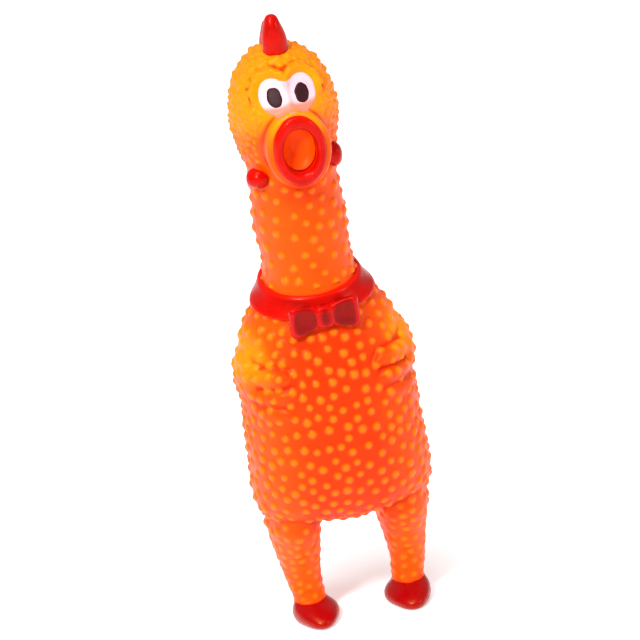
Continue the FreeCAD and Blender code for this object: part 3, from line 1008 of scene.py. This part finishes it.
def take_piece(whole, names, wanted):
    build = bmesh.new()
    build.from_mesh(whole.data)
    build.faces.ensure_lookup_table()
    others = [build.faces[index] for index in np.flatnonzero(names != wanted)]
    bmesh.ops.delete(build, geom=others, context="FACES")
    title = wanted.replace(" ", "_") + "_look"
    mesh = bpy.data.meshes.new(title)
    build.to_mesh(mesh)
    build.free()
    for polygon in mesh.polygons:
        polygon.use_smooth = True
    stored = np.zeros(len(mesh.vertices) * 3, np.float32)
    mesh.attributes["smooth_normal"].data.foreach_get("vector", stored)
    mesh.normals_split_custom_set_from_vertices(stored.reshape(-1, 3).tolist())
    mesh.attributes.remove(mesh.attributes["smooth_normal"])
    piece = bpy.data.objects.new(title, mesh)
    bpy.context.scene.collection.objects.link(piece)
    mesh.materials.append(skin_vinyl)
    return piece


smooth_skin = BVHTree.FromObject(skin, bpy.context.evaluated_depsgraph_get())
slice_all(skin.data)
face_names = piece_of(face_centres(skin.data))
skin_pieces = {}
for name in sorted(set(face_names)):
    skin_pieces[name] = take_piece(skin, face_names, name)
    print(name, len(skin_pieces[name].data.polygons), "faces")
remove(skin)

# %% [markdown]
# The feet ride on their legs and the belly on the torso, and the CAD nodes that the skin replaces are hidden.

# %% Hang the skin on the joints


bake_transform(skin_pieces["torso skin"])
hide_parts("torso_skin", "neck_base_fold", "left_wing", "right_wing",
            "tail_stump")
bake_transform(skin_pieces["neck skin"])
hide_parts("neck_lower_ring", "neck_middle_fold", "neck_upper_ring")
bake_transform(skin_pieces["head skin"])
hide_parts("head_skin", "nape_fold", "beak", "mouth_cup", "brow_ridge")
for side, word in ((LEFT, "left"), (RIGHT, "right")):
    leg = skin_pieces[word + " leg skin"]
    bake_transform(leg)
    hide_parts(word + "_leg", word + "_hip_fold")
    foot = skin_pieces[word + " foot"]
    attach(foot, word + "_leg")
    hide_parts(word + "_foot")
belly = skin_pieces["belly skin"]
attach(belly, "torso")
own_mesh(belly)
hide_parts("belly_panel")
print(len(skin_pieces), "skin pieces on their bodies")

# %% [markdown]
# Trims that stand on the skin are small meshes of their own. A helper turns a grid of points into a
# smooth piece with the stored values that the materials read.

# %% Trim helpers


def finish_piece(name, mesh, material, slot_name, body, *replaced):
    piece = bpy.data.objects.new(name, mesh)
    bpy.context.scene.collection.objects.link(piece)
    for polygon in mesh.polygons:
        polygon.use_smooth = True
    if material is not None:
        mesh.materials.append(material)
    if body is not None:
        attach(piece, body)
    if replaced:
        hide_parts(*replaced)
    return piece


def grid_mesh(name, grid, wrap_rows=False):
    """A mesh from rows of points; each row is closed on itself, and the rows too if wrap_rows."""
    rows, columns = grid.shape[:2]
    faces = []
    for row in range(rows if wrap_rows else rows - 1):
        for column in range(columns):
            a, b = row * columns + column, row * columns + (column + 1) % columns
            c = ((row + 1) % rows) * columns
            faces.append((a, b, c + (column + 1) % columns, c + column))
    mesh = bpy.data.meshes.new(name)
    mesh.from_pydata([tuple(p) for p in grid.reshape(-1, 3)], [], faces)
    mesh.update()
    return mesh


def add_relief(mesh, rounds=20):
    values = measure_relief(mesh, read_points(mesh), read_normals(mesh), rounds)
    store(mesh, "relief", values / MM)


def roughen(mesh, scale, amount, seed):
    here = read_points(mesh)
    push = amount * roughness_at(here, scale, seed)
    write_points(mesh, here + push[:, None] * read_normals(mesh))


# %% [markdown]
# The lips are a ring swept round the mouth, a little square in section, with a second ridge at the lower
# lip.

# %% Lips
LIP_AROUND, LIP_STEPS = 144, 36


def lips():
    middle_x, middle_z = 0.81 * LIP_HALF_WIDTH, 0.81 * LIP_HALF_HEIGHT
    thick_x, thick_z = LIP_HALF_WIDTH - middle_x, LIP_HALF_HEIGHT - middle_z
    bulge = BEAK_FRONT - LIP_FRONT
    grid = np.zeros((LIP_AROUND, LIP_STEPS, 3))
    for row in range(LIP_AROUND):
        turn = 2 * math.pi * row / LIP_AROUND
        out = np.array([math.cos(turn), math.sin(turn)])
        for step in range(LIP_STEPS):
            roll = 2 * math.pi * step / LIP_STEPS
            away = math.copysign(abs(math.cos(roll)) ** 0.8, math.cos(roll))
            rise = math.copysign(abs(math.sin(roll)) ** 0.8, math.sin(roll))
            ridge = 0.5 * MM * max(0.0, -out[1]) * math.exp(-((away + 0.45) / 0.22) ** 2) * (rise > 0)
            grid[row, step] = (
                out[0] * (middle_x + thick_x * away),
                BEAK_FRONT + 0.5 * MM - (bulge + 0.5 * MM) * rise - ridge,
                MOUTH_HEIGHT + out[1] * (middle_z + thick_z * away),
            )
    mesh = grid_mesh("lips_look", grid[:, ::-1], wrap_rows=True)
    roughen(mesh, 6 * MM, 0.3 * MM, 11)
    add_relief(mesh)
    return finish_piece("lips_look", mesh, red_paint_material, "red_paint", "head", "lip_ring")


lip_piece = lips()
print("lips with", len(lip_piece.data.polygons), "faces")

# %% [markdown]
# Eyes follow the head, so rays from the front find the skin under a fine grid, and the grid is lifted off
# it.

# %% Eye patch and pupils


def skin_front(x, z):
    """Where a line from the front meets the skin."""
    hit = smooth_skin.ray_cast(Vector((x, -0.1, z)), Vector((0, 1, 0)))
    return hit[0].y


def patch_on_skin(name, inside_value, low, high, thickness, step, material, slot_name, replaced):
    """A thin raised patch: a grid over the skin, cut where inside_value falls under 0."""
    across = np.arange(low[0], high[0] + step, step)
    up = np.arange(low[1], high[1] + step, step)
    index = {}
    points = []
    for i, x in enumerate(across):
        for j, z in enumerate(up):
            depth = inside_value(x, z)
            if depth > -1.2 * step:
                rim = max(0.0, min(1.0, depth / (1.2 * MM)))
                lift = thickness * math.sqrt(1 - (1 - rim) ** 2) - 0.25 * MM * (depth < 0)
                index[i, j] = len(points)
                points.append((x, skin_front(x, z) - lift, z))
    faces = []
    for (i, j), a in index.items():
        corners = [index.get((i + 1, j)), index.get((i + 1, j + 1)), index.get((i, j + 1))]
        if None not in corners:
            faces.append((a, *corners))
    mesh = bpy.data.meshes.new(name)
    mesh.from_pydata(points, [], faces)
    mesh.update()
    thick = bmesh.new()
    thick.from_mesh(mesh)
    loose = [v for v in thick.verts if not v.link_faces]
    bmesh.ops.delete(thick, geom=loose, context="VERTS")
    bmesh.ops.smooth_vert(thick, verts=thick.verts, factor=0.5, use_axis_x=True, use_axis_y=True,
                          use_axis_z=True)
    thick.to_mesh(mesh)
    thick.free()
    here = read_points(mesh)
    between = np.exp(-((here[:, 0] / (2.2 * MM)) ** 2)) * 0.45
    low_edge = ramp(-here[:, 2], -EYE_HEIGHT + 1.5 * MM, -EYE_HEIGHT + 6.5 * MM)
    store(mesh, "blush", np.clip(between + low_edge, 0, 1))
    return finish_piece(name, mesh, material, slot_name, "head", replaced)


def oval_depth(x, z, middle_x, middle_z, half_width, half_height):
    """How far inside an oval a point is, roughly, in metres."""
    value = math.hypot((x - middle_x) / half_width, (z - middle_z) / half_height)
    return (1 - value) * min(half_width, half_height)


def eye_patch_depth(x, z):
    ovals = max(oval_depth(x, z, side * EYE_SPREAD, EYE_HEIGHT, EYE_HALF_WIDTH, EYE_HALF_HEIGHT)
                for side in (LEFT, RIGHT))
    bridge = min(0.82 * EYE_HALF_HEIGHT - abs(z - EYE_HEIGHT), EYE_SPREAD - abs(x))
    return max(ovals, bridge)


patch_on_skin("eye_patch_look", eye_patch_depth, (eye_low.x - MM, eye_low.z - MM),
              (eye_high.x + MM, eye_high.z + MM), 0.7 * MM, 0.4 * MM, eye_material, "eye_paint", "eye_patch")
for side, word in ((LEFT, "left"), (RIGHT, "right")):
    low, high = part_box(word + "_pupil")
    half_width, half_height = 0.5 * (high.x - low.x), 0.5 * (high.z - low.z)

    def pupil_depth(x, z, side=side, half_width=half_width, half_height=half_height):
        wobble = 0.35 * MM * noise.noise(Vector((x, side, z)) / (2.5 * MM))
        return oval_depth(x, z, side * EYE_SPREAD, EYE_HEIGHT, half_width, half_height) + wobble

    patch_on_skin(word + "_pupil_look", pupil_depth, (low.x - MM, low.z - MM), (high.x + MM, high.z + MM),
                  1.1 * MM, 0.3 * MM, pupil_material, "pupil_paint", word + "_pupil")
print("eye patch and two pupils")

# %% [markdown]
# The collar is a flared band through the body's own sections, tilted so that it sits lower in front.

# %% Collar
collar_low, collar_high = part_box("collar_band")
COLLAR_TILT = 4.25 * MM
COLLAR_LIFT = 1.6 * MM


def body_point(turn, heights, out):
    """Points on the skin's oval at these heights, pushed out by a distance."""
    columns = [np.interp(heights, body_heights, column) for column in body_sections.T]
    left, right, front, back = columns
    x = 0.5 * (left + right) + (0.5 * (right - left) + out) * np.cos(turn)
    y = 0.5 * (front + back) + (0.5 * (back - front) + out) * np.sin(turn)
    return np.column_stack([x, y, heights])


def collar():
    """A flared band that sits lower in front than behind."""
    height = collar_high.z - collar_low.z
    profile = [(0.02, -0.4), (-0.04, 1.4), (0.0, 2.3), (0.08, 2.8), (0.3, 2.5), (0.55, 2.3),
               (0.8, 2.2), (0.94, 2.1), (1.02, 1.5), (1.04, 0.7), (0.97, -0.4)]
    turn = np.arange(AROUND) * 2 * math.pi / AROUND
    grid = []
    for share, out in profile:
        level = collar_low.z + COLLAR_LIFT + share * height
        heights = level + COLLAR_TILT * np.sin(turn)
        grid.append(body_point(turn, heights, out * MM))
    mesh = grid_mesh("collar_look", np.array(grid), wrap_rows=True)
    build = bmesh.new()
    build.from_mesh(mesh)
    bmesh.ops.recalc_face_normals(build, faces=build.faces)
    bmesh.ops.subdivide_edges(build, edges=build.edges, cuts=1, smooth=0.6, use_grid_fill=True)
    build.to_mesh(mesh)
    build.free()
    roughen(mesh, 9 * MM, 0.25 * MM, 21)
    add_relief(mesh)
    return finish_piece("collar_look", mesh, red_paint_material, "red_paint", "torso", "collar_band")


collar_piece = collar()
print("collar from", round(collar_low.z / MM, 1), "to", round(collar_high.z / MM, 1), "mm")

# %% [markdown]
# The bow tie is three rows of rounded rectangles. A dished front leaves raised rims of the moulding, which
# get a painted highlight.

# %% Bow tie
BOW_RING = 48
knot_low, knot_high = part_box("bow_knot")
BOW_HEIGHT = 0.5 * (knot_low.z + knot_high.z)


def side_ring(x, middle_y, half_depth, half_height, height, dish):
    """A rounded rectangle square to X whose front is dished."""
    turn = np.arange(BOW_RING) * 2 * math.pi / BOW_RING
    c, s = np.cos(turn), np.sin(turn)
    y = -np.sign(c) * np.abs(c) ** 0.6
    z = np.sign(s) * np.abs(s) ** 0.6
    hollow = dish * np.clip(-y, 0, 1) * (1 - z * z)
    depth = middle_y + half_depth * y + hollow
    return np.column_stack([np.full(BOW_RING, x), depth, height + half_height * z])


def closed_rings(name, rings):
    rings = [rings[0].mean(0) + 0.02 * (rings[0] - rings[0].mean(0))] + rings
    rings = rings + [rings[-1].mean(0) + 0.02 * (rings[-1] - rings[-1].mean(0))]
    mesh = grid_mesh(name, np.array(rings))
    build = bmesh.new()
    build.from_mesh(mesh)
    bmesh.ops.holes_fill(build, edges=build.edges)
    bmesh.ops.recalc_face_normals(build, faces=build.faces)
    build.to_mesh(mesh)
    build.free()
    return mesh


def bow_loop(side, word):
    low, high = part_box(word + "_bow_loop")
    middle_y = 0.5 * (low.y + high.y)
    inner, outer = (abs(high.x), abs(low.x)) if side < 0 else (abs(low.x), abs(high.x))
    half_height = 0.5 * (high.z - low.z)
    rings = []
    for share in np.linspace(0, 1, 22):
        tall = half_height * (0.7 + 0.3 * math.sin(0.5 * math.pi * min(1, share * 1.1)))
        close = math.sqrt(max(0.02, 1 - max(0.0, (share - 0.86) / 0.14) ** 2))
        tall *= 0.75 + 0.25 * close
        rings.append(side_ring(side * (inner + share * (outer - inner)), middle_y, 3.3 * MM * close, tall,
                               BOW_HEIGHT - 0.8 * MM * share, 1.3 * MM * math.sin(math.pi * share)))
    mesh = closed_rings(word + "_bow_loop_look", rings)
    roughen(mesh, 7 * MM, 0.3 * MM, 31 + side)
    add_relief(mesh)
    return finish_piece(word + "_bow_loop_look", mesh, bow_material, "bow_paint", "torso", word + "_bow_loop")


def knot():
    middle_y = 0.5 * (knot_low.y + knot_high.y)
    half = 0.5 * (knot_high.x - knot_low.x)
    rings = []
    for share in np.linspace(-1, 1, 17):
        close = math.sqrt(max(0.03, 1 - share ** 4))
        rings.append(side_ring(half * share, middle_y, 0.5 * (knot_high.y - knot_low.y) * close * 0.95,
                               0.5 * (knot_high.z - knot_low.z) * close * 0.9, BOW_HEIGHT, 0.3 * MM))
    mesh = closed_rings("bow_knot_look", rings)
    add_relief(mesh)
    return finish_piece("bow_knot_look", mesh, bow_material, "bow_paint", "torso", "bow_knot")


for side, word in ((LEFT, "left"), (RIGHT, "right")):
    bow_loop(side, word)
knot()
print("bow tie at", round(BOW_HEIGHT / MM, 1), "mm")

# %% [markdown]
# Comb and wattles start as the CAD solids, are fused into soft lumps and then stretched to what the eye
# sees.

# %% Comb and wattles


def lump_from(names, title, voxel, rounds, material, slot_name, body, stretch=(1, 1, 1), shift=(0, 0, 0)):
    """Fuses CAD nodes into one soft lump, stretched about its middle and shifted."""
    piece = fuse([copy_of(name) for name in names], title, voxel, rounds)
    mesh = piece.data
    remove(piece)
    here = read_points(mesh)
    middle = 0.5 * (here.min(0) + here.max(0))
    write_points(mesh, middle + (here - middle) * np.array(stretch) + np.array(shift))
    mesh.materials.clear()
    roughen(mesh, 5 * MM, 0.35 * MM, 41)
    add_relief(mesh)
    return finish_piece(title, mesh, material, slot_name, body, *names)


comb = lump_from(["comb", "comb_root"], "comb_look", 0.5 * MM, 6, red_paint_material, "red_paint", None)
comb_points = read_points(comb.data)
narrow_behind = 1 - 0.42 * ramp(comb_points[:, 1], -0.006, 0.0)
narrow_above = 1.08 - 0.3 * ramp(comb_points[:, 2], comb_points[:, 2].min() + 6 * MM, comb_points[:, 2].max())
comb_points[:, 0] *= narrow_behind * narrow_above
write_points(comb.data, comb_points)
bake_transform(comb)
lump_from(["left_wattle"], "left_wattle_look", 0.5 * MM, 6, red_paint_material, "red_paint", "head",
          (1.12, 1.0, 0.68), (0, 0, -1.5 * MM))
lump_from(["right_wattle"], "right_wattle_look", 0.5 * MM, 6, red_paint_material, "red_paint", "head",
          (0.85, 0.9, 0.8), (0, 0, 2.5 * MM))
print("comb and wattles")

# %% [markdown]
# The squawker's pieces sit inside the throat. Their CAD shapes are right, so they keep them and only take
# a finish.

# %% Finish the squawker
for name in ("squawker_barrel", "squawker_cap", "reed_plate", "reed_wedge", "reed_tongue"):
    inner_mesh = nodes[name].data
    inner_mesh.materials.clear()
    inner_mesh.materials.append(reed_material if name == "reed_tongue" else plastic_material)
print("squawker finished")
